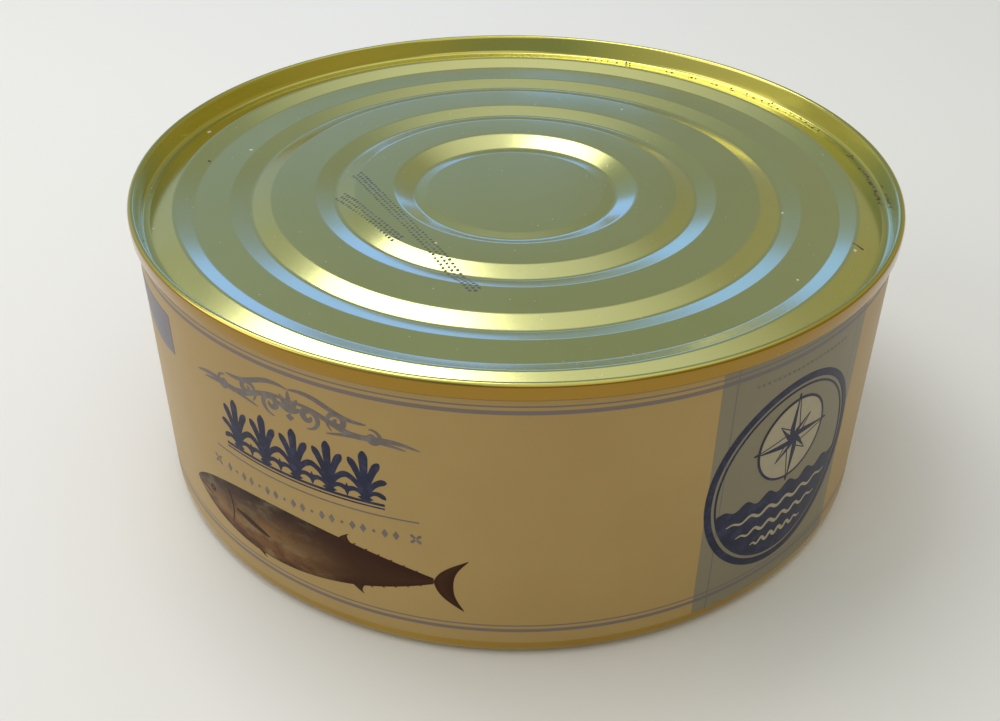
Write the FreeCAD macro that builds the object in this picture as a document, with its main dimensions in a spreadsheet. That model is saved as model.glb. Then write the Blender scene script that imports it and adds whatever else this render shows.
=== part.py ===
import FreeCAD, Part
import os
import Sketcher

# A large, low fish tin of two pieces: a drawn can body with its filling, and the
# lid that is double-seamed onto it.  Both are turned about the Z axis.  The origin
# is the middle of the standing ring, where the tin rests on a table.  Millimetres.

# Every driving dimension: name, value, what it is.
SIZES = [
    ("height", 62.0, "table to the top of the seam"),
    ("body_radius", 77.0, "outside of the straight wall"),
    ("body_sheet", 0.25, "wall of the drawn body"),
    ("lid_sheet", 0.25, "wall of the lid"),
    ("seam_gap", 0.05, "air left between two layers of the seam"),
    ("seam_length", 3.2, "height of the double seam"),
    ("hook_gap", 0.25, "end of each hook to the bend that it points into"),
    ("corner_radius", 2.6, "round edge between wall and base"),
    ("ring_width", 3.2, "flat of the standing ring"),
    ("base_rise", 1.3, "how far the base panel is pressed up"),
    ("base_rise_width", 4.0, "width of that step"),
    ("base_bead_radius", 44.0, "middle of the bead in the base"),
    ("base_bead_width", 4.0, "half the width of that bead"),
    ("base_bead_depth", 0.8, "depth of that bead"),
    ("fill_gap", 0.1, "filling to the lowest point of the lid"),
    ("panel_depth", 4.5, "top of the seam down to the flat of the lid"),
    ("disc_radius", 18.3, "flat disc in the middle of the lid"),
    ("disc_depth", 6.0, "top of the seam down to the disc"),
    ("moat_radius", 20.8, "lowest circle of the moat round the disc"),
    ("moat_dip", 0.3, "disc down to the bottom of the moat"),
    ("shelf_radius", 25.8, "inner edge of the first flat ring"),
    ("inner_bead_radius", 37.5, "middle of the inner bead"),
    ("outer_bead_radius", 54.6, "middle of the outer bead"),
    ("bead_width", 4.4, "half the width of both beads"),
    ("bead_depth", 1.05, "depth of both beads"),
    ("crest_foot_inset", 11.2, "outside of the wall in to where the panel starts to rise"),
    ("crest_inset", 6.6, "outside of the wall in to the top of the crest"),
    ("crest_depth", 3.2, "top of the seam down to the crest"),
    ("countersink_inset", 2.1, "outside of the wall in to the outer edge of the countersink's floor"),
    ("countersink_width", 0.6, "flat floor of the countersink"),
    ("countersink_depth", 4.3, "top of the seam down to that floor"),
    ("countersink_round", 1.0, "round between that floor and the chuck wall"),
]

# The seam's folds, as formulas of the cells above.  All the folds over the top share
# one middle, the crown; the two folds of the lid's lower curl share another.
HOOK_BEND = "(dims.seam_gap + dims.lid_sheet / 2)"
BODY_BEND = "(" + HOOK_BEND + " + dims.body_sheet)"
LID_BEND = "(" + BODY_BEND + " + dims.seam_gap + dims.lid_sheet)"
CURL_BEND = "(dims.seam_gap + dims.body_sheet / 2 + dims.lid_sheet)"
CROWN = "(dims.body_radius + " + HOOK_BEND + ")"
CROWN_Z = "(dims.height - " + LID_BEND + ")"
SEAM_RADIUS = "(" + CROWN + " + " + LID_BEND + ")"
CURL = "(" + SEAM_RADIUS + " - " + CURL_BEND + ")"
CURL_Z = "(dims.height - dims.seam_length + " + CURL_BEND + ")"


def make_sheet(doc):
    """Put every driving dimension in a spreadsheet, one aliased cell each."""
    sheet = doc.addObject("Spreadsheet::Sheet", "dims")
    for row, (name, value, note) in enumerate(SIZES, start=1):
        sheet.set("A%d" % row, name)
        sheet.set("B%d" % row, str(value))
        sheet.set("C%d" % row, note)
        sheet.setAlias("B%d" % row, name)
    doc.recompute()
    return sheet


class Outline:
    """A half section drawn point by point in a sketch: x is the radius, y the height.

    Each coordinate and each arc's radius is a formula of the sheet's cells, and stays
    bound to them.
    """

    def __init__(self, sketch, sheet, radius, height):
        self.sketch = sketch
        self.sheet = sheet
        self.first = None
        self.last = None
        self.start = (radius, height)
        self.here = self.point(radius, height)
        self.tip = (radius, height)

    def value(self, formula):
        return float(self.sheet.evalExpression(formula))

    def point(self, radius, height):
        return FreeCAD.Vector(self.value(radius), self.value(height), 0)

    def bind(self, kind, *where_and_formula):
        """Add a constraint and bind it to its formula, the last argument."""
        where = where_and_formula[:-1]
        formula = where_and_formula[-1]
        constraint = Sketcher.Constraint(kind, *where, self.value(formula))
        index = self.sketch.addConstraint(constraint)
        self.sketch.setExpression("Constraints[%d]" % index, formula)

    def pin(self, geometry, end, radius, height):
        """Tie one end of a line or arc to its radius and height."""
        if radius == "0":
            self.sketch.addConstraint(Sketcher.Constraint("PointOnObject", geometry, end, -2))
        else:
            self.bind("DistanceX", -1, 1, geometry, end, radius)
        if height == "0":
            self.sketch.addConstraint(Sketcher.Constraint("PointOnObject", geometry, end, -1))
        else:
            self.bind("DistanceY", -1, 1, geometry, end, height)

    def add(self, shape, start_end, far_end, radius, height):
        """Add one piece of outline that leads from the last point to a new one."""
        geometry = self.sketch.addGeometry(shape, False)
        if self.last is None:
            self.pin(geometry, start_end, *self.start)
            self.first = (geometry, start_end)
        else:
            self.sketch.addConstraint(
                Sketcher.Constraint("Coincident", *self.last, geometry, start_end))
        if (radius, height) == self.start:
            self.sketch.addConstraint(
                Sketcher.Constraint("Coincident", geometry, far_end, *self.first))
        else:
            self.pin(geometry, far_end, radius, height)
        self.last = (geometry, far_end)
        self.here = self.point(radius, height)
        self.tip = (radius, height)
        return geometry

    def line(self, radius, height):
        """A straight stretch to the given radius and height."""
        segment = Part.LineSegment(self.here, self.point(radius, height))
        self.add(segment, 1, 2, radius, height)

    def arc(self, radius, height, bend, side):
        """An arc to the given point; side is 1 where it turns left and -1 where right."""
        target = self.point(radius, height)
        size = self.value(bend)
        chord = target - self.here
        reach = max(size ** 2 - (chord.Length / 2) ** 2, 0.0) ** 0.5
        across = FreeCAD.Vector(-chord.y, chord.x, 0).normalize()
        centre = (self.here + target) / 2 + across * (reach * side)
        circle = Part.Circle(centre, FreeCAD.Vector(0, 0, 1), size)
        begin, end = (self.here, target) if side > 0 else (target, self.here)
        curve = Part.ArcOfCircle(circle, circle.parameter(begin), circle.parameter(end))
        ends = (1, 2) if side > 0 else (2, 1)
        geometry = self.add(curve, *ends, radius, height)
        self.bind("Radius", geometry, bend)

    def step(self, radius, height):
        """A level S-curve to the given point: two equal arcs that meet half way."""
        width = "((" + radius + ") - (" + self.tip[0] + "))"
        climb = "((" + height + ") - (" + self.tip[1] + "))"
        bend = "(" + width + "^2 + " + climb + "^2) / (4 * abs(" + climb + "))"
        middle_radius = "((" + radius + ") + (" + self.tip[0] + ")) / 2"
        middle_height = "((" + height + ") + (" + self.tip[1] + ")) / 2"
        side = 1 if self.value(climb) * self.value(width) > 0 else -1
        self.arc(middle_radius, middle_height, bend, side)
        self.arc(radius, height, bend, -side)


def draw_lid_path(sketch, sheet):
    """The seen side of the lid, from its middle over the seam to the end of its hook."""
    flat = "dims.height - dims.panel_depth"
    disc = "dims.height - dims.disc_depth"
    floor = "dims.height - dims.countersink_depth"
    floor_edge = "(dims.body_radius - dims.countersink_inset)"
    path = Outline(sketch, sheet, "0", disc)

    path.line("dims.disc_radius", disc)
    path.step("dims.moat_radius", disc + " - dims.moat_dip")
    path.step("dims.shelf_radius", flat)
    for bead in ("dims.inner_bead_radius", "dims.outer_bead_radius"):
        path.line(bead + " - dims.bead_width", flat)
        path.step(bead, flat + " - dims.bead_depth")
        path.step(bead + " + dims.bead_width", flat)
    path.line("dims.body_radius - dims.crest_foot_inset", flat)
    path.step("dims.body_radius - dims.crest_inset", "dims.height - dims.crest_depth")
    path.step(floor_edge + " - dims.countersink_width", floor)
    path.line(floor_edge, floor)

    # The chuck wall is the straight line that touches both the round of the
    # countersink and the fold of the crown, one on each side of it.
    run = "(" + CROWN + " - " + floor_edge + ")"
    rise = "(" + CROWN_Z + " - (" + floor + " + dims.countersink_round))"
    rounds = "(dims.countersink_round + " + LID_BEND + ")"
    lean = "(atan(%s / %s) - asin(%s / sqrt(%s^2 + %s^2)))" % (run, rise, rounds, run, rise)
    path.arc(
        floor_edge + " + dims.countersink_round * cos" + lean,
        floor + " + dims.countersink_round * (1 - sin" + lean + ")",
        "dims.countersink_round", 1)
    path.line(
        CROWN + " - " + LID_BEND + " * cos" + lean,
        CROWN_Z + " + " + LID_BEND + " * sin" + lean)

    # Over the crown, down the outside of the seam and up into the cover hook.
    path.arc(CROWN, "dims.height", LID_BEND, -1)
    path.arc(SEAM_RADIUS, CROWN_Z, LID_BEND, -1)
    path.line(SEAM_RADIUS, CURL_Z)
    path.arc(CURL, "dims.height - dims.seam_length", CURL_BEND, -1)
    path.arc("dims.body_radius + dims.seam_gap", CURL_Z, CURL_BEND, -1)
    path.line("dims.body_radius + dims.seam_gap", CROWN_Z + " - dims.hook_gap")


def make_lid(doc, sheet):
    """The lid: one sheet along its path, turned round the can's axis."""
    sketch = doc.addObject("Sketcher::SketchObject", "lid_path")
    sketch.Placement = FreeCAD.Placement(
        FreeCAD.Vector(0, 0, 0), FreeCAD.Rotation(FreeCAD.Vector(1, 0, 0), 90))
    draw_lid_path(sketch, sheet)
    doc.recompute()

    band = doc.addObject("Part::Offset2D", "lid_band")
    band.Source = sketch
    band.Mode = "Skin"
    band.Join = "Tangent"
    band.Fill = True
    band.setExpression("Value", "-dims.lid_sheet")

    lid = doc.addObject("Part::Revolution", "seamed_lid")
    lid.Label = "seamed_lid"
    lid.Source = band
    lid.Axis = FreeCAD.Vector(0, 0, 1)
    lid.Base = FreeCAD.Vector(0, 0, 0)
    lid.Angle = 360
    lid.Solid = True
    return lid


def draw_body_section(sketch, sheet):
    """Half the section of the filled body, from the base's middle round to the top."""
    panel = "dims.base_rise"
    fill = (
        "dims.height - dims.disc_depth - dims.moat_dip"
        " - dims.lid_sheet - dims.fill_gap")
    inner_wall = "dims.body_radius - dims.body_sheet"
    bead = "dims.base_bead_radius"
    ring_outer = "dims.body_radius - dims.corner_radius"
    ring_inner = ring_outer + " - dims.ring_width"
    hook_end = CURL_Z + " + dims.hook_gap"
    section = Outline(sketch, sheet, "0", panel)

    # Underside: raised panel with one bead, and the ring that the tin stands on.
    section.line(bead + " - dims.base_bead_width", panel)
    section.step(bead, panel + " + dims.base_bead_depth")
    section.step(bead + " + dims.base_bead_width", panel)
    section.line(ring_inner + " - dims.base_rise_width", panel)
    section.step(ring_inner, "0")
    section.line(ring_outer, "0")
    section.arc("dims.body_radius", "dims.corner_radius", "dims.corner_radius", 1)

    # Straight wall, then the body hook, folded out and down over the cover hook.
    section.line("dims.body_radius", CROWN_Z)
    section.arc(CROWN, CROWN_Z + " + " + HOOK_BEND, HOOK_BEND, -1)
    section.arc(CROWN + " + " + HOOK_BEND, CROWN_Z, HOOK_BEND, -1)
    section.line(CROWN + " + " + HOOK_BEND, hook_end)
    section.line(CROWN + " + " + BODY_BEND, hook_end)
    section.line(CROWN + " + " + BODY_BEND, CROWN_Z)
    section.arc(CROWN, CROWN_Z + " + " + BODY_BEND, BODY_BEND, 1)
    section.arc(inner_wall, CROWN_Z, BODY_BEND, 1)

    # Down the inside of the wall to the filling, and back to the axis.
    section.line(inner_wall, fill)
    section.line("0", fill)
    section.line("0", panel)


def make_body(doc, sheet):
    """The drawn body with its filling, turned in one piece."""
    body = doc.addObject("PartDesign::Body", "can_body")
    body.Label = "can_body"
    planes = [plane for plane in body.Origin.OriginFeatures if plane.Role == "XZ_Plane"]
    axes = [axis for axis in body.Origin.OriginFeatures if axis.Role == "Z_Axis"]

    sketch = body.newObject("Sketcher::SketchObject", "body_section")
    sketch.AttachmentSupport = [(planes[0], "")]
    sketch.MapMode = "FlatFace"
    draw_body_section(sketch, sheet)
    doc.recompute()

    turned = body.newObject("PartDesign::Revolution", "turned_body")
    turned.Profile = sketch
    turned.ReferenceAxis = (axes[0], [""])
    turned.Angle = 360
    body.Tip = turned
    return body


def check(doc, pieces):
    """Stop with a plain message where an object or a piece's shape has failed."""
    for item in doc.Objects:
        if "Invalid" in item.State or "Error" in item.State:
            raise RuntimeError("%s failed: %s" % (item.Name, item.State))
    for piece in pieces:
        shape = piece.Shape
        if shape.isNull() or not shape.isValid() or len(shape.Solids) != 1:
            raise RuntimeError("%s is not one valid solid" % piece.Label)


def main():
    doc = FreeCAD.newDocument("fish_tin")
    sheet = make_sheet(doc)
    pieces = [make_body(doc, sheet), make_lid(doc, sheet)]
    doc.recompute()
    check(doc, pieces)

    os.makedirs("parts", exist_ok=True)
    for piece in pieces:
        piece.Shape.exportStep("parts/%s.step" % piece.Label)
        box = piece.Shape.BoundBox
        print("%-12s volume %.1f  z %.3f to %.3f  radius %.3f" % (
            piece.Label, piece.Shape.Volume, box.ZMin, box.ZMax, box.XMax))


main()
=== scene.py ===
import math

import bpy
import numpy as np
from mathutils import Matrix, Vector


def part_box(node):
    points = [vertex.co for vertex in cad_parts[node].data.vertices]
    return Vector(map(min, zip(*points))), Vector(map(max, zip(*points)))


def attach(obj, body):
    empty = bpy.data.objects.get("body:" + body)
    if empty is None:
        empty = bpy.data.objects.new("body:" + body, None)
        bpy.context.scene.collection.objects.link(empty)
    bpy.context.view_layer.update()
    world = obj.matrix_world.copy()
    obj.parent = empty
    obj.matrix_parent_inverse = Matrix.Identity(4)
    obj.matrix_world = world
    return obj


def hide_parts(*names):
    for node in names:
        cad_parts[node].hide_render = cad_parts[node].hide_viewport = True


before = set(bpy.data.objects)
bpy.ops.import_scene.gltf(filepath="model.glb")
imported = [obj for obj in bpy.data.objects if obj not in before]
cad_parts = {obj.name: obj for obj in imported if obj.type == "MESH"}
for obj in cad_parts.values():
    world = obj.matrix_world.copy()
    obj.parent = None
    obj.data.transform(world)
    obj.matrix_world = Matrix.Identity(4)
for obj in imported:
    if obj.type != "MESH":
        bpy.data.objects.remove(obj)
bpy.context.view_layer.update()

# A large, low fish tin.  Shapes are worked out in millimetres and scaled as they go
# into a mesh; angles round the tin are measured from its front, -Y, towards +X.
MM = 0.001
LID_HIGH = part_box("seamed_lid")[1]
BODY_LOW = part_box("can_body")[0]

# The double seam, from its outside inwards.
HEIGHT = LID_HIGH.z / MM
SEAM_RADIUS = LID_HIGH.x / MM
SHEET = 0.25
SEAM_GAP = 0.05
SEAM_LENGTH = 3.2
HOOK_GAP = 0.25
HOOK_BEND = SEAM_GAP + SHEET / 2
BODY_BEND = HOOK_BEND + SHEET
LID_BEND = BODY_BEND + SEAM_GAP + SHEET
CURL_BEND = SEAM_GAP + SHEET / 2 + SHEET
CROWN = SEAM_RADIUS - LID_BEND
CROWN_Z = HEIGHT - LID_BEND
CURL = SEAM_RADIUS - CURL_BEND
CURL_Z = HEIGHT - SEAM_LENGTH + CURL_BEND
WALL = CROWN - HOOK_BEND

# The pressed lid, from its middle outwards; depths are below the top of the seam.
DISC_RADIUS = 18.3
DISC_DEPTH = 6.0
MOAT_RADIUS = 20.8
MOAT_DIP = 0.3
SHELF_RADIUS = 25.8
PANEL_DEPTH = 4.5
BEADS = (37.5, 54.6)
BEAD_HALF = 4.4
BEAD_DEPTH = 1.05
CREST_FOOT = WALL - 11.5
CREST = WALL - 7.3
CREST_DEPTH = 3.2
STEP_BEND = 2.0
CREST_BEND = 0.9
FLOOR_EDGE = WALL - 2.1
FLOOR_WIDTH = 0.6
FLOOR_DEPTH = 4.3
FLOOR_ROUND = 1.0

# The drawn body.
CORNER = 2.6
RING_WIDTH = 3.2
BASE_RISE = 1.3
BASE_RISE_WIDTH = 4.0
BASE_BEAD = 44.0
BASE_BEAD_HALF = 4.0
BASE_BEAD_DEPTH = 0.8
FILL_TOP = HEIGHT - DISC_DEPTH - MOAT_DIP - SHEET - 0.1

# The print, in millimetres up the wall and degrees round it.  A span gives both ends
# round the wall, and a place gives degrees first; lines have a height and half a width.
PRINT_LOW = 3.5
TOP_LINES = ((57.2, 0.17), (56.0, 0.42))
FOOT_LINES = ((7.9, 0.17), (6.7, 0.40))
PANEL_SPAN = (26.3, 55.0)
PANEL_INSET = 2.3
FLOURISH_PLACE = (-28.8, 46.7)
FLOURISH_HALF = 17.8
FLOURISH_TALL = 6.2
PALMETTE_SPAN = (-41.8, -16.0)
PALMETTE_HEIGHTS = (32.6, 45.0)
PALMETTES = 5
RULE_SPAN = (-44.5, -11.5)
RULE_HEIGHT = 31.0
RULE_THICK = 0.28
ROW_SPAN = (-46.0, -11.0)
ROW_HEIGHT = 27.1
FISH_NOSE = (-53.2, 15.9)
FISH_TAIL_ROOT = (-9.9, 17.7)
FISH_TAIL_TIPS = ((-5.3, 23.3), (-6.0, 11.0))
FISH_HALF_DEPTH = 7.1
PENNANT_PLACE = (-54.0, 52.6)
MEDALLION_PLACE = (40.5, 29.9)
MEDALLION_HALF_WIDTH = 19.5
MEDALLION_HALF_HEIGHT = 21.0
DOT_SPAN = (32.0, 49.5)
DOT_HEIGHT = 53.2
DOT_HALF = 0.36
DOTS = 21

# Each layer of ink stands this far off the wall, and all of it reaches into the wall.
INK_PROUD = 0.03
INK_SUNK = 0.05

# How finely the slopes' arcs and the turned pieces are divided.
STEP_COUNT = 6
TURN_STEPS = 300
BODY_TURN_STEPS = 360


# ---------------------------------------------------------------- meshes from arrays

class Section:
    """Half a section of a turned shape, as radii and heights from one end to the other.

    The heading, the direction of travel at each point, is kept too, so that a sheet of
    even thickness can be laid beside the line.
    """

    def __init__(self, radius, height):
        self.tip = (radius, height)
        self.points = [np.array([[radius, height]])]
        self.headings = [np.zeros(1)]

    def add(self, radii, heights, headings):
        self.points.append(np.stack([radii, heights], -1))
        self.headings.append(headings)
        self.tip = (radii[-1], heights[-1])

    def line(self, radius, height, count=1):
        """A straight stretch: even shares of the way from the tip to the new point."""
        share = np.arange(1, count + 1) / count
        across = radius - self.tip[0]
        climb = height - self.tip[1]
        heading = math.atan2(climb, across)
        if len(self.points) == 1:
            self.headings[0][0] = heading
        self.add(self.tip[0] + across * share, self.tip[1] + climb * share,
                 np.full(count, heading))

    def arc(self, middle, bend, begin, end, count):
        """Part of a circle about middle: cosine and sine of an angle from begin to end."""
        angle = np.linspace(begin, end, count + 1)[1:]
        heading = angle + math.copysign(math.pi / 2, end - begin)
        self.add(middle[0] + bend * np.cos(angle), middle[1] + bend * np.sin(angle), heading)

    def step(self, radius, height, bend=STEP_BEND, count=STEP_COUNT):
        """A pressed slope that starts and ends level: an arc, a cone and an arc.

        With w across, d up and r the arcs' radius, the cone is the inner common tangent
        of both circles.  The line through their middles slopes by atan((d - 2 r) / w),
        and the tangent leans asin(2 r / distance of the middles) more than that.
        """
        start = self.tip
        across = radius - start[0]
        climb = abs(height - start[1])
        sign = math.copysign(1, height - start[1])
        drop = climb - 2 * bend
        sweep = math.atan2(drop, across) + math.asin(2 * bend / math.hypot(across, drop))
        angle = np.linspace(0, sweep, count + 1)
        run = bend * np.sin(angle)
        rise = sign * bend * (1 - np.cos(angle))
        self.add(start[0] + run[1:], start[1] + rise[1:], sign * angle[1:])
        self.add(radius - run[::-1], height - rise[::-1], sign * angle[::-1])

    def line_points(self):
        return np.concatenate(self.points)

    def beside(self, distance):
        """Each point moved to the right of its heading by the distance, the first on the axis."""
        heading = np.concatenate(self.headings)
        right = np.stack([np.sin(heading), -np.cos(heading)], -1)
        moved = self.line_points() + distance * right
        moved[0, 0] = 0.0
        return moved


def face_outwards(points, quads, triangles):
    """Turn all faces round if the closed shape's signed volume comes out negative."""
    corners = np.concatenate([quads[:, [0, 1, 2]], quads[:, [0, 2, 3]], triangles])
    a, b, c = (points[corners[:, i]] for i in range(3))
    if np.einsum("ij,ij->i", a, np.cross(b, c)).sum() < 0:
        return quads[:, ::-1], triangles[:, ::-1]
    return quads, triangles


def new_piece(name, points, quads, triangles, material, slot, pattern=None, smooth=True):
    """A mesh object from arrays: points in mm, faces as rows of point numbers.

    A pattern gives each point two numbers, which become the piece's UV map.
    """
    mesh = bpy.data.meshes.new(name)
    corners = np.concatenate([quads.ravel(), triangles.ravel()]).astype(np.int32)
    starts = np.concatenate([
        np.arange(len(quads)) * 4,
        len(quads) * 4 + np.arange(len(triangles)) * 3]).astype(np.int32)
    mesh.vertices.add(len(points))
    mesh.vertices.foreach_set("co", (points * MM).astype(np.float32).ravel())
    mesh.loops.add(len(corners))
    mesh.loops.foreach_set("vertex_index", corners)
    mesh.polygons.add(len(starts))
    mesh.polygons.foreach_set("loop_start", starts)
    mesh.polygons.foreach_set("use_smooth", np.full(len(starts), smooth))
    mesh.update(calc_edges=True)
    if pattern is not None:
        layer = mesh.uv_layers.new(name="pattern")
        layer.data.foreach_set("uv", pattern[corners].astype(np.float32).ravel())
    mesh.validate()
    mesh.materials.append(material)
    piece = bpy.data.objects.new(name, mesh)
    bpy.context.scene.collection.objects.link(piece)
    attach(piece, "root")
    return piece


def turned(loop, steps=TURN_STEPS):
    """Turn a loop of radii and heights that starts and ends on the axis.

    Point (r, z) becomes a ring (r sin a, -r cos a, z) for even angles a; both ends
    become a single point with a fan of triangles.
    """
    angle = np.arange(steps) * 2 * math.pi / steps
    rings = loop[1:-1]
    points = np.stack([
        rings[:, :1] * np.sin(angle),
        -rings[:, :1] * np.cos(angle),
        np.repeat(rings[:, 1:], steps, axis=1)], -1).reshape(-1, 3)
    poles = np.array([[0, 0, loop[0, 1]], [0, 0, loop[-1, 1]]])
    here = np.arange(steps)
    after = (here + 1) % steps
    row = np.arange(len(rings) - 1)[:, None] * steps
    quads = np.stack([row + here, row + after, row + steps + after, row + steps + here],
                     -1).reshape(-1, 4)
    count = len(points)
    last = (len(rings) - 1) * steps
    first_fan = np.stack([np.full(steps, count), after, here], -1)
    last_fan = np.stack([np.full(steps, count + 1), last + here, last + after], -1)
    points = np.concatenate([points, poles])
    triangles = np.concatenate([first_fan, last_fan])
    return (points, *face_outwards(points, quads, triangles))


def closed_grid(upper, lower, round_trip):
    """A thin closed slab between two grids of points of the same shape.

    Row by row along the slab and column by column across it; with round_trip the last
    row joins the first, and otherwise both ends get their own faces.
    """
    rows, columns = upper.shape[:2]
    number = np.arange(rows * columns).reshape(rows, columns)
    if round_trip:
        number = np.concatenate([number, number[:1]])
    below = number + rows * columns

    def cells(a, b, c, d):
        return np.stack([a, b, c, d], -1).reshape(-1, 4)

    faces = [
        cells(number[:-1, :-1], number[:-1, 1:], number[1:, 1:], number[1:, :-1]),
        cells(below[:-1, :-1], below[1:, :-1], below[1:, 1:], below[:-1, 1:]),
        cells(number[:-1, 0], number[1:, 0], below[1:, 0], below[:-1, 0]),
        cells(number[:-1, -1], below[:-1, -1], below[1:, -1], number[1:, -1]),
    ]
    if not round_trip:
        faces.append(cells(number[0, :-1], below[0, :-1], below[0, 1:], number[0, 1:]))
        faces.append(cells(number[-1, :-1], number[-1, 1:], below[-1, 1:], below[-1, :-1]))
    points = np.concatenate([upper.reshape(-1, 3), lower.reshape(-1, 3)])
    quads, _ = face_outwards(points, np.concatenate(faces), np.zeros((0, 3), int))
    return points, quads


class Heap:
    """Slabs of one ink gathered into a single mesh."""

    def __init__(self):
        self.points = []
        self.quads = []
        self.pattern = []
        self.count = 0

    def add(self, upper, lower, pattern, round_trip=False):
        points, quads = closed_grid(upper, lower, round_trip)
        self.points.append(points)
        self.quads.append(quads + self.count)
        self.pattern.append(np.tile(pattern.reshape(-1, 2), (2, 1)))
        self.count += len(points)

    def piece(self, name, material, slot):
        new_piece(name, np.concatenate(self.points), np.concatenate(self.quads),
                  np.zeros((0, 3), int), material, slot, np.concatenate(self.pattern),
                  smooth=False)


# ---------------------------------------------------------------- the two turned pieces

def lid_section():
    """The lid's seen side, from its middle over the seam and up into the hook."""
    flat = HEIGHT - PANEL_DEPTH
    disc = HEIGHT - DISC_DEPTH
    floor = HEIGHT - FLOOR_DEPTH
    section = Section(0.0, disc)
    section.line(DISC_RADIUS, disc, 2)
    section.step(MOAT_RADIUS, disc - MOAT_DIP)
    section.step(SHELF_RADIUS, flat)
    for bead in BEADS:
        section.line(bead - BEAD_HALF, flat)
        section.step(bead, flat - BEAD_DEPTH)
        section.step(bead + BEAD_HALF, flat)
    section.line(CREST_FOOT, flat)
    section.step(CREST, HEIGHT - CREST_DEPTH)
    section.step(FLOOR_EDGE - FLOOR_WIDTH, floor, CREST_BEND)
    section.line(FLOOR_EDGE, floor)

    # The chuck wall touches the round at its foot and the fold at its top.
    run = CROWN - FLOOR_EDGE
    rise = CROWN_Z - (floor + FLOOR_ROUND)
    lean = math.atan(run / rise) - math.asin((FLOOR_ROUND + LID_BEND) / math.hypot(run, rise))
    section.arc((FLOOR_EDGE, floor + FLOOR_ROUND), FLOOR_ROUND, -math.pi / 2, -lean, 7)
    section.line(CROWN - LID_BEND * math.cos(lean), CROWN_Z + LID_BEND * math.sin(lean))
    section.arc((CROWN, CROWN_Z), LID_BEND, math.pi - lean, 0.0, 18)
    section.line(SEAM_RADIUS, CURL_Z)
    section.arc((CURL, CURL_Z), CURL_BEND, 0.0, -math.pi, 10)
    section.line(WALL + SEAM_GAP, CROWN_Z - HOOK_GAP)
    return section


def lid_surface(radius):
    """Height of the lid's seen side at a radius inside the chuck wall."""
    line = lid_section().line_points()
    inside = line[:, 0].argmax()
    inside = np.flatnonzero(np.diff(line[:inside, 0]) > 0)
    return np.interp(radius, line[inside, 0], line[inside, 1])


def make_lid(material):
    """The lid: one sheet of even thickness along its section."""
    section = lid_section()
    loop = np.concatenate([section.line_points(), section.beside(SHEET)[::-1]])
    lid = new_piece("lacquered_lid", *turned(loop), material, "gold_lacquer")
    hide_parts("seamed_lid")


def make_body(material):
    """The body: base with its bead, standing ring, wall, and hook inside the seam."""
    ring_outer = WALL - CORNER
    ring_inner = ring_outer - RING_WIDTH
    section = Section(0.0, BASE_RISE)
    section.line(BASE_BEAD - BASE_BEAD_HALF, BASE_RISE, 2)
    section.step(BASE_BEAD, BASE_RISE + BASE_BEAD_DEPTH)
    section.step(BASE_BEAD + BASE_BEAD_HALF, BASE_RISE)
    section.line(ring_inner - BASE_RISE_WIDTH, BASE_RISE)
    section.step(ring_inner, 0.0)
    section.line(ring_outer, 0.0)
    section.arc((ring_outer, CORNER), CORNER, -math.pi / 2, 0.0, 14)
    section.line(WALL, CROWN_Z, 12)
    section.arc((CROWN, CROWN_Z), HOOK_BEND, math.pi, 0.0, 6)
    section.line(CROWN + HOOK_BEND, CURL_Z + HOOK_GAP)
    section.line(CROWN + BODY_BEND, CURL_Z + HOOK_GAP)
    section.line(CROWN + BODY_BEND, CROWN_Z)
    section.arc((CROWN, CROWN_Z), BODY_BEND, 0.0, math.pi, 8)
    section.line(WALL - SHEET, FILL_TOP)
    section.line(0.0, FILL_TOP)
    loop = section.line_points()
    body = new_piece("drawn_body", *turned(loop, BODY_TURN_STEPS), material, "printed_can")
    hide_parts("can_body")


# ---------------------------------------------------------------- ink on the wall

def on_wall(across, up, proud):
    """Millimetres round the wall and up it, to points of a cylinder about the axis."""
    turn = across / WALL
    radius = WALL + proud
    return np.stack([radius * np.sin(turn), -radius * np.cos(turn), up], -1)


def arc_mm(degrees):
    """Length on the wall of an angle round it."""
    return math.radians(degrees) * WALL


def arc_place(place):
    """A place in degrees round the wall and millimetres up it, all in millimetres."""
    return arc_mm(place[0]), place[1]


def band(heap, edge, other, columns=2, round_trip=False, layer=1, pattern=None):
    """Ink between two lines on the wall: even shares of the way from one to the other."""
    share = np.linspace(0, 1, columns)[None, :, None]
    flat = edge[:, None, :] * (1 - share) + other[:, None, :] * share
    if pattern is None:
        pattern = np.zeros_like(flat)
    upper = on_wall(flat[..., 0], flat[..., 1], INK_PROUD * layer)
    lower = on_wall(flat[..., 0], flat[..., 1], -INK_SUNK)
    heap.add(upper, lower, pattern, round_trip)


def stroke(heap, path, width, round_trip=False, layer=1, pattern=None):
    """A pen stroke: the path moved left and right by half its width, square to its way."""
    if round_trip:
        way = np.roll(path, -1, axis=0) - np.roll(path, 1, axis=0)
    else:
        way = np.gradient(path, axis=0)
    way = way / np.linalg.norm(way, axis=1, keepdims=True)
    side = np.stack([-way[:, 1], way[:, 0]], -1) * (np.asarray(width) / 2).reshape(-1, 1)
    band(heap, path + side, path - side, 2, round_trip, layer, pattern)


def spiral(middle, begin_radius, end_radius, begin, turns):
    """Points round a middle whose radius shrinks by an even factor from turn to turn."""
    share = np.linspace(0, 1, 48)
    radius = begin_radius * (end_radius / begin_radius) ** share
    angle = math.radians(begin) + 2 * math.pi * turns * share
    return np.stack([middle[0] + radius * np.cos(angle), middle[1] + radius * np.sin(angle)], -1)


def oval(middle, half_width, half_height, count=120):
    """Points of an ellipse by cosine and sine."""
    angle = np.arange(count) * 2 * math.pi / count
    return np.stack([middle[0] + half_width * np.cos(angle),
                     middle[1] + half_height * np.sin(angle)], -1)


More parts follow.
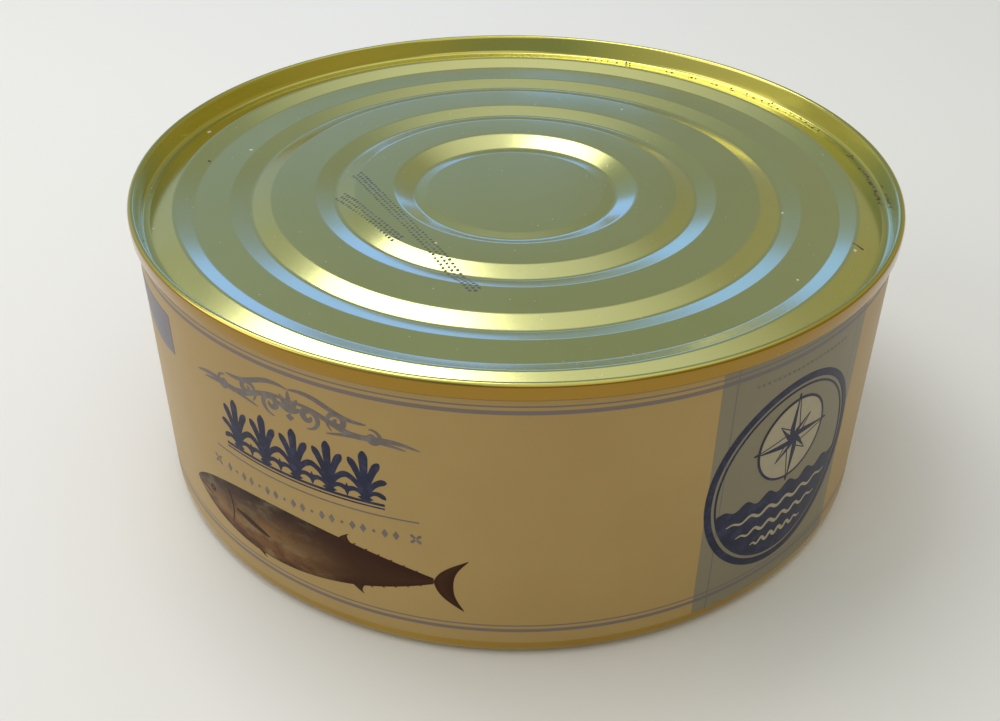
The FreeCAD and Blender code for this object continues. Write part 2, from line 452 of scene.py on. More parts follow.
def taper(count, thick, thin=0.12, power=0.6):
    """Widths that swell from thin to thick and back, as half a sine wave to a power."""
    return thin + (thick - thin) * np.sin(np.linspace(0, math.pi, count)) ** power


def lozenge(heap, middle, half_width, half_height):
    """A diamond, from its left corner to its right one."""
    share = np.linspace(-0.98, 0.98, 5)
    reach = half_height * (1 - np.abs(share))
    across = middle[0] + half_width * share
    band(heap, np.stack([across, middle[1] - reach], -1), np.stack([across, middle[1] + reach], -1))


def mirrored(path, axis):
    """The same path with left and right changed about an upright axis."""
    return np.stack([2 * axis - path[:, 0], path[:, 1]], -1)


def draw_flourish(heap, middle, half_width, height):
    """A scrolled ornament: spirals and tapering leaves, the same on both sides."""
    base = middle[1]
    strokes = [
        (spiral((middle[0] - 0.16 * half_width, base + 0.30 * height), 0.42 * height,
                0.08 * height, -80, -1.35), 1.25),
        (spiral((middle[0] - 0.40 * half_width, base + 0.42 * height), 0.40 * height,
                0.07 * height, -60, 1.4), 1.1),
        (spiral((middle[0] - 0.66 * half_width, base + 0.16 * height), 0.30 * height,
                0.06 * height, 70, 1.3), 0.95),
    ]
    sweep = np.linspace(0, 1, 40)
    long_leaf = np.stack([
        middle[0] - half_width * sweep,
        base + height * (0.62 * (1 - sweep) ** 1.4 + 0.10 * np.sin(3 * math.pi * sweep))], -1)
    top_leaf = np.stack([
        middle[0] - 0.62 * half_width * sweep,
        base + height * (0.98 - 0.42 * sweep ** 1.5 + 0.10 * np.sin(2 * math.pi * sweep))], -1)
    under_leaf = np.stack([
        middle[0] - half_width * (0.30 + 0.60 * sweep),
        base + height * (-0.06 + 0.16 * np.sin(math.pi * sweep))], -1)
    strokes += [(long_leaf, 1.15), (top_leaf, 1.0), (under_leaf, 0.8)]
    for path, thick in strokes:
        widths = taper(len(path), thick)
        stroke(heap, path, widths)
        stroke(heap, mirrored(path, middle[0]), widths)
    for slant, reach in ((0, 0.72), (30, 0.60), (60, 0.46)):
        for turn in ((0,) if slant == 0 else (-slant, slant)):
            angle = math.radians(turn)
            leaf = np.stack([
                middle[0] + sweep * reach * height * math.sin(angle),
                base + height * (0.22 + reach * sweep * math.cos(angle))], -1)
            stroke(heap, leaf, taper(len(leaf), 1.0))
    lozenge(heap, (middle[0], base + 0.06 * height), 0.9, 0.8)


def draw_palmettes(heap, left, right, low, high, count):
    """A row of upright palmettes: leaves that fan out of a knot and swell to round tips.

    A leaf leaves the knot at its own slant and bends further out as it rises.
    """
    pitch = (right - left) / count
    tall = high - low
    share = np.linspace(0, 1, 22)
    for number in range(count):
        middle = left + pitch * (number + 0.5)
        for slant, reach, thick in ((0.0, 0.93, 1.9), (26.0, 0.84, 1.6), (52.0, 0.68, 1.4),
                                    (80.0, 0.50, 1.15)):
            for side in ((1,) if slant == 0.0 else (-1, 1)):
                angle = np.radians(slant * (0.45 + 0.55 * share ** 1.5)) * side
                reach_mm = reach * tall * 0.93
                path = np.stack([
                    middle + np.sin(angle) * reach_mm * share * 0.66,
                    low + 0.10 * tall + np.cos(angle) * reach_mm * share], -1)
                widths = 0.5 + (thick - 0.5) * share ** 0.8
                widths[-3:] *= (0.9, 0.65, 0.2)
                stroke(heap, path, widths)
        lozenge(heap, (middle, low + 0.13 * tall), 1.5, 0.85)
    for joint in np.linspace(left, right, count + 1)[1:-1]:
        lozenge(heap, (joint, low + 0.21 * tall), 0.6, 1.5)
    for height in (0.1, 0.9):
        line = np.stack([np.linspace(left, right, 40), np.full(40, low + height)], -1)
        stroke(heap, line, 0.55 if height > 0.5 else 0.3)


def draw_row(heap, left, right, height):
    """A row of small lozenges and dots between two four-petalled end ornaments."""
    places = np.linspace(left + 5.0, right - 5.0, 19)
    for number, across in enumerate(places):
        if number % 3 == 1:
            lozenge(heap, (across, height), 0.38, 0.42)
        else:
            lozenge(heap, (across, height), 0.62, 1.05)
    for across in (left + 1.4, right - 1.4):
        for turn in range(4):
            petal = np.linspace(0.35, 1.35, 7)
            angle = math.radians(45 + 90 * turn)
            path = np.stack([across + petal * math.cos(angle),
                             height + petal * math.sin(angle)], -1)
            stroke(heap, path, taper(7, 0.62, 0.2))
        stroke(heap, oval((across, height), 0.35, 0.35, 12), 0.2, True)


def draw_pennant(heap, place):
    """The near corner of a blue-grey pennant, closed off round the side of the tin."""
    right, high = place
    share = np.linspace(0, 1, 24)
    across = right - 21.0 * share
    top = high - 0.6 * share
    low = high - 8.6 + 4.4 * share - 2.4 * np.sin(math.pi * share)
    band(heap, np.stack([across, low], -1), np.stack([across, top], -1), 4)


def draw_rose(heap, middle, reach):
    """A compass rose: eight tapering rays, the four short ones between the long ones."""
    for number in range(8):
        long_ray = number % 2 == 0
        length = reach if long_ray else 0.58 * reach
        angle = math.radians(45 * number)
        along = np.array([math.cos(angle), math.sin(angle)])
        side = np.array([-along[1], along[0]])
        share = np.linspace(0, 1, 9)[:, None]
        spine = np.asarray(middle) + along * length * share
        half = (0.17 if long_ray else 0.13) * reach * (1 - share) * np.minimum(1, 0.15 + 5 * share)
        band(heap, spine, spine + side * (half + 0.02), 2, layer=3)
        stroke(heap, spine - side * (half + 0.05), 0.22, layer=3)


def draw_medallion(heap, pale, middle, half_width, half_height):
    """An oval medallion: a broad ring, a thin one inside it, a rose and three waves."""
    inner_width = half_width - 2.4
    inner_height = half_height - 2.4
    stroke(heap, oval(middle, half_width - 0.8, half_height - 0.8), 1.45, True, layer=2)
    stroke(heap, oval(middle, inner_width, inner_height), 0.4, True, layer=2)
    lift = 0.36 * half_height
    rose = (middle[0], middle[1] + lift)
    disc = oval(rose, 0.44 * half_width, 0.44 * half_width, 72)
    band(pale, disc * 0.02 + np.asarray(rose) * 0.98, disc, 6, True, layer=2)
    stroke(heap, disc, 0.5, True, layer=3)
    draw_rose(heap, rose, 0.50 * half_width)
    share = np.linspace(-0.995, 0.995, 90)
    ripple = np.sin(6.0 * math.pi * share) * (1 - share ** 6)
    across = middle[0] + inner_width * 0.965 * share
    bowl = middle[1] - inner_height * np.sqrt(1 - (0.965 * share) ** 2)
    sea = np.minimum(middle[1] - 0.17 * half_height + 0.75 * ripple, middle[1] - 0.02)
    band(heap, np.stack([across, bowl], -1), np.stack([across, sea], -1), 8, layer=2)
    for drop, reach in ((0.34, 0.82), (0.52, 0.66), (0.69, 0.42)):
        crest = np.stack([
            middle[0] + inner_width * reach * share,
            middle[1] - drop * half_height + 0.55 * ripple], -1)
        stroke(pale, crest, taper(90, 0.75, 0.15, 0.5), layer=3)


def fish_pattern(along, rows):
    """Two numbers for each point: share from nose to tail and from belly to back."""
    share = np.linspace(0, 1, rows)
    return np.stack(np.broadcast_arrays(along[:, None], share[None, :]), -1)


def draw_fish(heap, nose, tail_root, tips, half_depth):
    """A tunny in profile, swimming to the left.

    Half its depth at share s of its length is s to the front power times (1 - s) to the
    rear power, over the greatest value of that, plus a little where the tail begins.
    """
    front_power = 0.74
    rear_power = 0.98
    length = tail_root[0] - nose[0]
    along = np.linspace(0, 1, 80)

    def shape(share):
        return share ** front_power * (1 - share) ** rear_power

    def half(share):
        peak = front_power / (front_power + rear_power)
        return half_depth * shape(share) / shape(peak) + 0.65 * share ** 6 + 0.04

    def axis(share):
        return nose[1] + (tail_root[1] - nose[1]) * share + 0.35 * np.sin(math.pi * share)

    across = nose[0] + length * along
    back = np.stack([across, axis(along) + half(along)], -1)
    belly = np.stack([across, axis(along) - half(along)], -1)
    band(heap, belly, back, 14, pattern=fish_pattern(along, 14))

    # Tail: two curved horns that sweep back from the root.
    share = np.linspace(0, 1, 24)
    for tip in tips:
        lean = np.array(tip) - np.array(tail_root)
        front = np.array(tail_root) + lean * share[:, None] + np.stack([
            1.4 * np.sin(math.pi * share), np.zeros(24)], -1) * -0.9
        width = 3.4 * (1 - share) ** 0.9 + 0.5 * np.sin(math.pi * share) + 0.15
        rear = front + np.stack([width, np.zeros(24)], -1)
        band(heap, front, rear, 3, pattern=fish_pattern(np.full(24, 1.0), 3))

    def fin(place, side, reach, lean, base):
        """A fin that stands on the outline: a curved triangle with its tip swept back."""
        rise = np.linspace(0, 1, 12)
        root = place + base * (1 - rise) ** 1.5 / length
        foot = nose[0] + length * place
        edge = axis(place) + side * half(place) - side * 0.4
        front = np.stack([foot + lean * rise ** 1.3, edge + side * reach * rise], -1)
        rear = np.stack([
            nose[0] + length * root + lean * rise ** 1.3 + 0.12,
            axis(root) + side * half(root) - side * 0.5 + side * reach * rise], -1)
        band(heap, front, rear, 3, pattern=fish_pattern(np.full(12, 1.0), 3))

    # First and second back fin, the fin behind the vent, the belly fin, then the finlets.
    fin(0.36, 1, 0.7, 3.0, 9.0)
    fin(0.69, 1, 1.9, 2.2, 3.2)
    fin(0.73, -1, 1.9, 2.2, 3.0)
    fin(0.34, -1, 1.3, 2.4, 2.6)
    for number in range(6):
        place = 0.735 + 0.04 * number
        fin(place, 1, 0.62 - 0.05 * number, 0.9, 0.9)
        fin(place + 0.01, -1, 0.58 - 0.05 * number, 0.9, 0.9)

    # Head and side: gill cover, mouth, eye and the long breast fin, in the darkest ink.
    dark = np.tile([[1.0, 1.0]], (40, 1))[:, None, :].repeat(2, 1)
    gill = np.linspace(-0.72, 0.66, 40)
    gill_place = 0.235 - 0.035 * gill ** 2
    gill_line = np.stack([nose[0] + length * gill_place,
                          axis(gill_place) + gill * half(gill_place)], -1)
    stroke(heap, gill_line, taper(40, 0.34), layer=2, pattern=dark)
    mouth = np.linspace(0.012, 0.105, 40)
    stroke(heap, np.stack([nose[0] + length * mouth, axis(mouth) - 0.25 * half(mouth)], -1),
           taper(40, 0.28), layer=2, pattern=dark)
    breast = np.linspace(0, 1, 40)
    stroke(heap, np.stack([
        nose[0] + length * (0.25 + 0.16 * breast),
        axis(0.3) + 0.2 - 1.9 * breast ** 1.2], -1), taper(40, 1.25), layer=2, pattern=dark)
    eye = (nose[0] + length * 0.115, axis(0.115) + 0.22 * half(0.115))
    stroke(heap, oval(eye, 0.62, 0.62, 40), 0.5, True, layer=2, pattern=dark)


# ---------------------------------------------------------------- marks on the lid

def on_lid(radius, turn, proud):
    """Points on the lid's seen side at a radius and an angle, lifted by proud."""
    height = lid_surface(radius) + proud
    return np.stack([radius * np.sin(turn), -radius * np.cos(turn), height], -1)


def spot(heap, radius, degrees, size, proud, ragged, random):
    """A small flat blot: rings about its middle, with an edge that wanders by ragged."""
    sides = 10
    turn = np.arange(sides) * 2 * math.pi / sides
    edge = size * (1 + ragged * random.uniform(-1, 1, sides))
    share = np.array([0.05, 0.65, 1.0])
    middle = math.radians(degrees)
    away = edge[:, None] * share
    r = radius + away * np.cos(turn)[:, None]
    a = middle + away * np.sin(turn)[:, None] / radius
    dome = proud * np.sqrt(1.02 - share ** 2)
    upper = on_lid(r, a, dome[None, :] + 0.004)
    lower = on_lid(r, a, -0.05)
    heap.add(upper, lower, np.zeros((sides, len(share), 2)), round_trip=True)


def jet_marks(random):
    """Ink-jet dots in two straight bands of three even, staggered lines, smaller midway."""
    heap = Heap()
    pitch = 1.05
    line_gap = 1.0
    for begin, end in (((-33.5, 3.5), (-6.5, -43.5)), ((-36.0, -5.5), (-22.0, -25.0))):
        begin = np.array(begin)
        way = np.array(end) - begin
        length = np.linalg.norm(way)
        side = np.array([-way[1], way[0]]) / length
        count = int(length / pitch)
        for number in range(count):
            for line in (-1, 0, 1):
                share = (number + 0.5 * (line == 0)) / count
                place = begin + way * share + side * line_gap * line + random.normal(0, 0.05, 2)
                spot(heap, math.hypot(*place), math.degrees(math.atan2(place[0], -place[1])),
                     0.23 + 0.20 * abs(share - 0.45) + 0.08 * random.random(),
                     0.006, 0.15, random)
    return heap


def residue_and_nick_shade(random):
    """Dark grains in the groove at the foot of the chuck wall, a thin dark line of painted shade
    for a nick in the crest, and a fleck.
    """
    heap = Heap()
    for place in random.uniform(98, 172, 46):
        spot(heap, FLOOR_EDGE - random.uniform(-0.45, 0.6), place, random.uniform(0.10, 0.34),
             0.10, 0.45, random)
    for place in random.uniform(84, 97, 26):
        spot(heap, FLOOR_EDGE - random.uniform(0.0, 0.7), place, random.uniform(0.15, 0.38),
             0.05, 0.2, random)
    # Painted shade: a nick in the crest, drawn as a thin line of dark spots.
    for share in np.linspace(0, 1, 12):
        spot(heap, 71.3 - 2.2 * share, 67.3 + 0.9 * share, 0.30 - 0.20 * share, 0.03, 0.3, random)
    spot(heap, 66.5, -97.0, 0.40, 0.05, 0.4, random)
    return heap


def crumbs(random):
    """A few pale crumbs of dust lying on the lid."""
    heap = Heap()
    for radius, place in ((55.0, 80.0), (64.0, 54.0), (73.6, -72.0), (72.7, -108.0),
                          (60.0, -104.0), (47.0, 148.0), (70.2, 66.0), (30.0, -30.0)):
        spot(heap, radius, place, random.uniform(0.22, 0.42), 0.16, 0.4, random)
    for radius, place in zip(random.uniform(8, 70, 36), random.uniform(-180, 180, 36)):
        spot(heap, radius, place, random.uniform(0.06, 0.14), 0.05, 0.4, random)
    return heap


# ---------------------------------------------------------------- shader maths

class Value:
    """A shader socket that takes part in plain arithmetic."""

    def __init__(self, net, socket):
        self.net = net
        self.socket = socket

    def _do(self, kind, *numbers):
        return self.net.out("ShaderNodeMath", {"operation": kind}, dict(enumerate(numbers)))

    def __add__(self, other):
        return self._do("ADD", self, other)

    def __radd__(self, other):
        return self._do("ADD", other, self)

    def __sub__(self, other):
        return self._do("SUBTRACT", self, other)

    def __rsub__(self, other):
        return self._do("SUBTRACT", other, self)

    def __mul__(self, other):
        return self._do("MULTIPLY", self, other)

    def __abs__(self):
        return self._do("ABSOLUTE", self)

    def __pow__(self, other):
        return self._do("POWER", self, other)

    def clamp(self):
        return self.net.out("ShaderNodeClamp", {}, {"Value": self})

    def larger(self, other):
        return self._do("MAXIMUM", self, other)

    def rise(self, low, high):
        """0 below low and 1 above high, with a smooth run between."""
        return self.net.out("ShaderNodeMapRange", {"interpolation_type": "SMOOTHSTEP"},
                            {"Value": self, "From Min": low, "From Max": high})

    def near(self, middle, half, soft):
        """1 within half of middle, falling to 0 over soft."""
        return 1 - abs(self - middle).rise(half - soft / 2, half + soft / 2)


class Net:
    """The node tree of one material, with a Principled surface."""

    def __init__(self, name, **constants):
        self.material = bpy.data.materials.new(name)
        self.material.use_nodes = True
        self.tree = self.material.node_tree
        self.surface = self.tree.nodes["Principled BSDF"]
        for socket, value in constants.items():
            self.surface.inputs[socket.replace("_", " ")].default_value = value

    def node(self, kind, settings, inputs):
        """A node of the given type: its settings first, then its sockets' values or links."""
        made = self.tree.nodes.new(kind)
        for name, value in settings.items():
            if name == "stops":
                self.set_stops(made.color_ramp, value)
            else:
                setattr(made, name, value)
        for name, value in inputs.items():
            if isinstance(value, Value):
                self.tree.links.new(value.socket, made.inputs[name])
            else:
                made.inputs[name].default_value = value
        return made

    @staticmethod
    def set_stops(ramp, stops):
        while len(ramp.elements) < len(stops):
            ramp.elements.new(0.5)
        for element, (place, color) in zip(ramp.elements, stops):
            element.position = place
            element.color = (*color, 1.0)

    def out(self, kind, settings, inputs, output=0):
        return Value(self, self.node(kind, settings, inputs).outputs[output])

    def place(self):
        """Object coordinates in metres, as a vector and as its three parts."""
        vector = self.out("ShaderNodeTexCoord", {}, {}, "Object")
        parts = self.node("ShaderNodeSeparateXYZ", {}, {"Vector": vector})
        return vector, *(Value(self, parts.outputs[i]) for i in range(3))

    def noise(self, vector, scale, detail=3.0, rough=0.55, stretch=None):
        if stretch is not None:
            vector = self.out("ShaderNodeMapping", {}, {"Vector": vector, "Scale": stretch})
        return self.out("ShaderNodeTexNoise", {}, {
            "Vector": vector, "Scale": scale, "Detail": detail, "Roughness": rough}, "Fac")

    def mix(self, share, first, second):
        """From the first colour to the second by share."""
        node = self.node("ShaderNodeMix", {"data_type": "RGBA"}, {})
        for index, value in ((0, share), (6, first), (7, second)):
            if isinstance(value, Value):
                self.tree.links.new(value.socket, node.inputs[index])
            else:
                node.inputs[index].default_value = value if index == 0 else (*value, 1.0)
        return Value(self, node.outputs[2])

    def bump(self, height, distance, strength=1.0, under=None):
        inputs = {"Height": height, "Distance": distance, "Strength": strength}
        if under is not None:
            inputs["Normal"] = under
        return self.out("ShaderNodeBump", {}, inputs, "Normal")

    def feed(self, **links):
        for name, value in links.items():
            self.tree.links.new(value.socket, self.surface.inputs[name.replace("_", " ")])
        return self.material


# ---------------------------------------------------------------- materials

GOLD = (0.71, 0.69, 0.28)
# A deeper gold, used for random tone in the lacquer and for a painted reflection from the groove
# outwards.
DEEP_GOLD_AND_REFLECTION = (0.58, 0.53, 0.12)
# A brown gold painted as a reflection of a warm surface, on the seam's outer wall and on the bare
# lacquer at the foot.
PAINTED_REFLECTION_BROWN = (0.32, 0.16, 0.012)
IVORY = (0.44, 0.29, 0.098)
IVORY_DEEP = (0.405, 0.26, 0.083)
PANEL = (0.215, 0.185, 0.115)
LINE_INK = (0.15, 0.125, 0.14)
NAVY = (0.012, 0.012, 0.036)
GREY_INK = (0.16, 0.125, 0.115)


def gold_lacquer():
    """Tinplate under gold lacquer: rolling grain, faint waves, handling marks and dust, with
    painted reflections: deeper gold from the groove outwards and brown on the seam's outer wall.
    """
    net = Net("gold_lacquer", Metallic=1.0, Coat_Weight=0.35, Coat_Roughness=0.10)
    vector, x, y, _ = net.place()
    cloud = net.noise(vector, 22.0, 3.0)
    grain = net.noise(vector, 700.0, 2.0, 0.5, (1.0, 0.05, 1.0))
    smear = net.noise(vector, 38.0, 3.0, 0.5, (1.0, 0.6, 1.0)).rise(0.45, 0.75)
    dust = net.noise(vector, 1500.0, 2.0).rise(0.72, 0.80)
    radius = (x * x + y * y) ** 0.5
    # Painted reflection: the seam's outer wall is turned brown, as for a warm surface reflected in
    # it.
    seam_wall_reflection = radius.rise((SEAM_RADIUS - 0.35) * MM, (SEAM_RADIUS - 0.05) * MM)
    # Painted reflection: from the groove at the chuck wall's foot outwards, the gold is deepened
    # for light bounced between the walls; the cloud's share is real tone.
    groove = radius.rise((FLOOR_EDGE - 1.5) * MM, (FLOOR_EDGE + 0.8) * MM) * 0.9
    color = net.mix((cloud.rise(0.3, 0.7) * 0.25 + groove).clamp(), GOLD, DEEP_GOLD_AND_REFLECTION)
    color = net.mix(seam_wall_reflection * 0.9, color, PAINTED_REFLECTION_BROWN)
    color = net.mix(dust * 0.3, color, (0.75, 0.75, 0.66))
    rough = 0.145 + grain * 0.03 + smear * 0.025 + cloud * 0.02 + dust * 0.2
    wave = net.noise(vector, 11.0, 1.0, 0.4)
    normal = net.bump(wave, 0.00012, 0.5)
    normal = net.bump(grain, 0.000002, 0.5, normal)
    return net.feed(Base_Color=color, Roughness=rough, Normal=normal)


def printed_can():
    """The body's finish: ivory print with lines and a panel, and bare lacquer below it, whose gold
    is darkened to brown as a painted reflection.
    """
    net = Net("printed_can", Coat_Roughness=0.2, Specular_IOR_Level=0.3)
    vector, x, y, z = net.place()
    turn = net.out("ShaderNodeMath", {"operation": "ARCTAN2"}, {0: x, 1: y * -1.0})
    angle = turn * (180 / math.pi)
    cloud = net.noise(vector, 30.0, 4.0)
    fibre = net.noise(vector, 700.0, 3.0)
    edge = net.noise(vector, 160.0, 3.0)
    printed = (z + (edge - 0.5) * 0.0003).rise(PRINT_LOW * MM, (PRINT_LOW + 0.12) * MM)

    ground = net.mix(cloud.rise(0.25, 0.75), IVORY, IVORY_DEEP)
    middle = (PANEL_SPAN[0] + PANEL_SPAN[1]) / 2
    half = (PANEL_SPAN[1] - PANEL_SPAN[0]) / 2
    panel = angle.near(middle, half, 0.12)
    ground = net.mix(panel, ground, net.mix(fibre * 0.5, PANEL, (0.245, 0.215, 0.145)))
    lines = abs(angle - middle).near(half - PANEL_INSET, 0.10, 0.10)
    for height, thick in TOP_LINES + FOOT_LINES:
        lines = lines.larger(z.near(height * MM, thick * MM, 0.12 * MM))
    ground = net.mix(lines * 0.85, ground, LINE_INK)
    rub = net.noise(vector, 260.0, 5.0, 0.7, (1.0, 1.0, 0.5)).rise(0.66, 0.74)
    worn = rub * z.near(5.0 * MM, 2.4 * MM, 2.0 * MM) * 0.6
    # Painted reflection: the bare lacquer's gold is darkened to brown, as for a warm surface
    # reflected in it.
    bare = net.mix(cloud, (0.54, 0.37, 0.06), PAINTED_REFLECTION_BROWN)
    printed = (printed - worn * 0.6).clamp()
    color = net.mix(printed, bare, ground)
    rough = 0.18 + printed * 0.22 + fibre * 0.05 + cloud * 0.04
    dents = net.noise(vector, 24.0, 2.0, 0.45)
    normal = net.bump(dents, 0.0002, 0.35)
    normal = net.bump(fibre, 0.00001, 0.4, normal)
    return net.feed(Base_Color=color, Metallic=1 - printed, Roughness=rough,
                    Coat_Weight=0.4 - printed * 0.25, Normal=normal)


def ink(name, color, other):
    """Printing ink: a tint that breaks up a little where it lies thin."""
    net = Net(name, Coat_Weight=0.04, Coat_Roughness=0.2, Specular_IOR_Level=0.15)
    vector = net.place()[0]
    thin = net.noise(vector, 500.0, 4.0, 0.6).rise(0.45, 0.75)
    patch = net.noise(vector, 90.0, 3.0)
    rough = 0.34 + thin * 0.08
    normal = net.bump(thin, 0.00001, 0.4)
    return net.feed(Base_Color=net.mix((thin * 0.6 + patch * 0.4).clamp(), color, other),
                    Roughness=rough, Normal=normal)


def fish_ink():
    """Brown inks of the fish: dark back and tail, paler mottled flank, dark belly edge."""
    net = Net("fish_ink", Specular_IOR_Level=0.12)
    vector = net.place()[0]
    pattern = net.out("ShaderNodeUVMap", {"uv_map": "pattern"}, {})
    parts = net.node("ShaderNodeSeparateXYZ", {}, {"Vector": pattern})
    along = Value(net, parts.outputs[0])
    up = Value(net, parts.outputs[1])
    mottle = net.noise(vector, 150.0, 5.0, 0.62, (0.8, 0.8, 2.0))
    blots = net.noise(vector, 330.0, 3.0, 0.55, (0.7, 0.7, 1.4))
    scales = net.noise(vector, 1400.0, 2.0)
    wavy = up + (mottle - 0.5) * 0.5
    flank = net.out("ShaderNodeValToRGB", {"stops": (
        (0.0, (0.060, 0.022, 0.008)),
        (0.12, (0.170, 0.068, 0.018)),
        (0.35, (0.235, 0.125, 0.040)),
        (0.60, (0.140, 0.062, 0.018)),
        (0.80, (0.048, 0.017, 0.005)),
        (1.0, (0.020, 0.007, 0.003)))}, {"Fac": wavy})
    rear = along.rise(0.40, 0.78)
    color = net.mix(rear * 0.92, flank, (0.040, 0.010, 0.002))
    color = net.mix(blots.rise(0.50, 0.64) * (1 - rear) * 0.55, color, (0.070, 0.028, 0.009))
    color = net.mix(mottle.rise(0.45, 0.72) * (1 - rear) * 0.45, color, (0.33, 0.26, 0.14))
    color = net.mix(scales.rise(0.55, 0.7) * 0.25, color, (0.03, 0.015, 0.009))
    normal = net.bump(scales, 0.00001, 0.4)
    return net.feed(Base_Color=color, Roughness=0.34 + mottle * 0.08, Normal=normal)


def grit(name, color, other, rough):
    """Small dry matter: two tints broken up by fine noise."""
    net = Net(name)
    vector = net.place()[0]
    speck = net.noise(vector, 2500.0, 3.0)
    normal = net.bump(speck, 0.00003, 0.6)
    return net.feed(Base_Color=net.mix(speck, color, other), Roughness=rough + speck * 0.2,
                    Normal=normal)


# ---------------------------------------------------------------- the pieces together

def make_print():
    """Every printed figure on the wall, one piece for each ink."""
    navy = Heap()
    grey = Heap()
    pale = Heap()
    blue = Heap()
    fish = Heap()
    draw_flourish(grey, arc_place(FLOURISH_PLACE), arc_mm(FLOURISH_HALF), FLOURISH_TALL)
    draw_palmettes(navy, *map(arc_mm, PALMETTE_SPAN), *PALMETTE_HEIGHTS, PALMETTES)
    rule = np.linspace(*map(arc_mm, RULE_SPAN), 60)
    stroke(grey, np.stack([rule, np.full_like(rule, RULE_HEIGHT)], -1), RULE_THICK)
    draw_row(grey, *map(arc_mm, ROW_SPAN), ROW_HEIGHT)
    draw_fish(fish, arc_place(FISH_NOSE), arc_place(FISH_TAIL_ROOT),
              [arc_place(tip) for tip in FISH_TAIL_TIPS], FISH_HALF_DEPTH)
    draw_pennant(blue, arc_place(PENNANT_PLACE))
    draw_medallion(navy, pale, arc_place(MEDALLION_PLACE), MEDALLION_HALF_WIDTH,
                   MEDALLION_HALF_HEIGHT)
    for across in np.linspace(*map(arc_mm, DOT_SPAN), DOTS):
        lozenge(grey, (across, DOT_HEIGHT), DOT_HALF, DOT_HALF)
    rows = (
        (navy, "navy_figures", ink("navy_ink", NAVY, (0.055, 0.060, 0.125))),
        (grey, "grey_figures", ink("grey_ink", GREY_INK, (0.24, 0.215, 0.20))),
        (pale, "rose_ground", ink("pale_ink", (0.42, 0.36, 0.25), (0.38, 0.33, 0.235))),
        (blue, "pennant_corner", ink("pennant_ink", (0.16, 0.14, 0.17), (0.21, 0.185, 0.21))),
        (fish, "fish_figure", fish_ink()),
    )
    for heap, name, material in rows:
        heap.piece(name, material, "printed_can")


def make_marks():
    """Jet dots, dark dried grains with a nick in painted shade, and crumbs on the lid."""
    random = np.random.default_rng(7)
    rows = (
        (jet_marks, "jet_dots", ink("jet_ink", (0.075, 0.085, 0.07), (0.19, 0.21, 0.15))),
        # The dark grains are dried matter; the nick among them is painted shade.
        (residue_and_nick_shade, "dried_residue_and_nick_shade",
         grit("residue_and_nick_shade", (0.035, 0.022, 0.012), (0.10, 0.065, 0.035), 0.55)),
        (crumbs, "pale_crumbs", grit("crumb", (0.62, 0.60, 0.52), (0.50, 0.47, 0.38), 0.6)),
    )
    for marks, name, material in rows:
        marks(random).piece(name, material, "gold_lacquer")


def make_floor():
    """A wide pale floor with a barely uneven tone."""
    reach = 4.0
    corners = [(across, along, BODY_LOW.z) for across, along in (
        (-reach, -reach), (reach, -reach), (reach, reach), (-reach, reach))]
    net = Net("pale_floor", Specular_IOR_Level=0.2)
    vector = net.place()[0]
    tone = net.noise(vector, 1.5, 2.0)
    material = net.feed(
        Base_Color=net.mix(tone, (0.84, 0.82, 0.78), (0.87, 0.85, 0.81)),
        Roughness=0.62 + tone * 0.1)
    mesh = bpy.data.meshes.new("pale_floor")
    mesh.from_pydata(corners, [], [(0, 1, 2, 3)])
    mesh.materials.append(material)
    floor = bpy.data.objects.new("pale_floor", mesh)
    bpy.context.scene.collection.objects.link(floor)


def aim(thing, target):
    """Point a lamp's -Z axis at the target, both in metres."""
    way = np.array(thing.location) - np.array(target)
    yaw = math.atan2(way[0], -way[1])
    pitch = math.atan2(math.hypot(way[0], way[1]), way[2])
    thing.rotation_euler = (pitch, 0.0, yaw)


def soft_lamp(name, place, width, height, radiance, color):
    """A rectangular lamp, in metres, of even radiance, aimed at the middle of the lid."""
    data = bpy.data.lights.new(name, "AREA")
    data.shape = "RECTANGLE"
    data.size = width
    data.size_y = height
    data.energy = radiance * math.pi * width * height
    data.color = color
    lamp = bpy.data.objects.new(name, data)
    lamp.location = place
    lamp.visible_camera = False
    bpy.context.scene.collection.objects.link(lamp)
    aim(lamp, (0.0, 0.0, HEIGHT * MM))


def make_light():
    """A strip lamp over the left, two low blue windows and a glow behind, and two fills."""
    soft_lamp("strip", (-0.25, 0.24, 0.74), 0.40, 0.50, 3.2, (0.97, 0.98, 1.0))
    soft_lamp("back_window", (-0.12, 0.90, 0.17), 0.24, 0.28, 1.7, (0.08, 0.24, 1.0))
    soft_lamp("right_window", (0.07, 0.90, 0.28), 0.14, 0.17, 1.6, (0.08, 0.26, 1.0))
    soft_lamp("back_glow", (-0.36, 0.95, 0.42), 0.90, 0.34, 0.14, (0.12, 0.30, 1.0))
    soft_lamp("left_fill", (-0.66, -0.10, 0.46), 0.50, 0.40, 1.6, (1.0, 0.98, 0.96))
    soft_lamp("front_fill", (0.20, -0.85, 0.75), 0.70, 0.60, 0.6, (1.0, 0.92, 0.78))


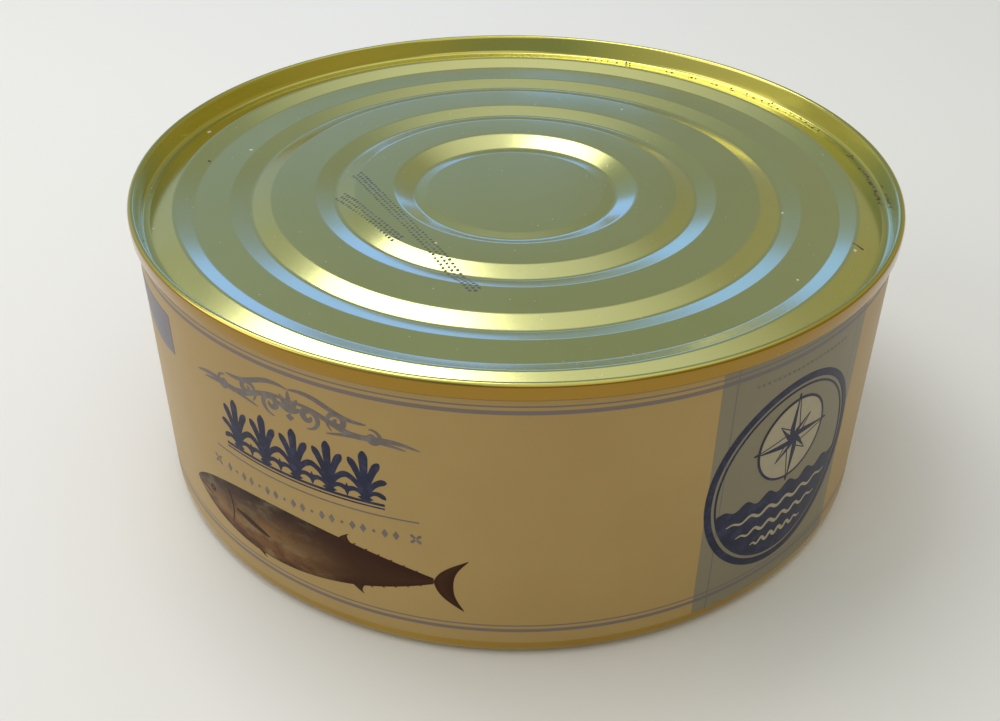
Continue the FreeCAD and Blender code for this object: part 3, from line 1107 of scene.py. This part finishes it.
def make_room():
    """The world: a dim room with a tint for each direction from left to right.

    Overhead the tints blend into a pale ceiling, by the upward part of the direction.
    """
    ceiling_begins = 0.66
    ceiling_full = 0.93
    ceiling = (0.88, 0.92, 0.98, 1.0)
    world = bpy.data.worlds.new("room")
    bpy.context.scene.world = world
    world.use_nodes = True
    tree = world.node_tree
    background = tree.nodes["Background"]
    direction = tree.nodes.new("ShaderNodeTexCoord")
    parts = tree.nodes.new("ShaderNodeSeparateXYZ")
    ramp = tree.nodes.new("ShaderNodeValToRGB")
    spread = tree.nodes.new("ShaderNodeMapRange")
    above = tree.nodes.new("ShaderNodeMapRange")
    blend = tree.nodes.new("ShaderNodeMix")
    blend.data_type = "RGBA"
    Net.set_stops(ramp.color_ramp, (
        (0.0, (0.62, 0.62, 0.58)),
        (0.18, (0.50, 0.52, 0.46)),
        (0.36, (0.27, 0.33, 0.36)),
        (0.60, (0.27, 0.31, 0.31)),
        (0.80, (0.40, 0.37, 0.20)),
        (1.0, (0.42, 0.36, 0.17))))
    spread.inputs["From Min"].default_value = -1.0
    above.inputs["From Min"].default_value = ceiling_begins
    above.inputs["From Max"].default_value = ceiling_full
    tree.links.new(direction.outputs["Generated"], parts.inputs["Vector"])
    tree.links.new(parts.outputs["X"], spread.inputs["Value"])
    tree.links.new(parts.outputs["Z"], above.inputs["Value"])
    tree.links.new(spread.outputs["Result"], ramp.inputs["Fac"])
    tree.links.new(above.outputs["Result"], blend.inputs["Factor"])
    tree.links.new(ramp.outputs["Color"], blend.inputs[6])
    blend.inputs[7].default_value = ceiling
    tree.links.new(blend.outputs[2], background.inputs["Color"])
    background.inputs["Strength"].default_value = 1.0


def make_camera():
    """The camera stands in front of the tin, above it, a little turned and rolled."""
    distance = 0.27825
    elevation = math.radians(36.972)
    yaw = math.radians(-0.745)
    pitch = math.radians(34.896)
    roll = math.radians(0.500)
    ahead = np.array([
        math.sin(yaw) * math.cos(pitch), math.cos(yaw) * math.cos(pitch), -math.sin(pitch)])
    right = np.cross(ahead, [0.0, 0.0, 1.0])
    right /= np.linalg.norm(right)
    up = np.cross(right, ahead)
    side = right * math.cos(roll) + up * math.sin(roll)
    top = up * math.cos(roll) - right * math.sin(roll)
    place = distance * np.array([0.0, -math.cos(elevation), math.sin(elevation)])

    data = bpy.data.cameras.new("camera")
    data.sensor_width = 36.0
    data.lens = 42.185
    data.clip_start = 0.01
    data.clip_end = 20.0
    camera = bpy.data.objects.new("camera", data)
    turn = np.stack([side, top, -ahead, place], 1).tolist()
    camera.matrix_world = Matrix(turn + [[0.0, 0.0, 0.0, 1.0]])
    bpy.context.scene.collection.objects.link(camera)
    bpy.context.scene.camera = camera


def main():
    """Build everything."""
    bpy.context.scene.view_settings.view_transform = "Standard"
    make_lid(gold_lacquer())
    make_body(printed_can())
    make_print()
    make_marks()
    make_floor()
    make_light()
    make_room()
    make_camera()


main()
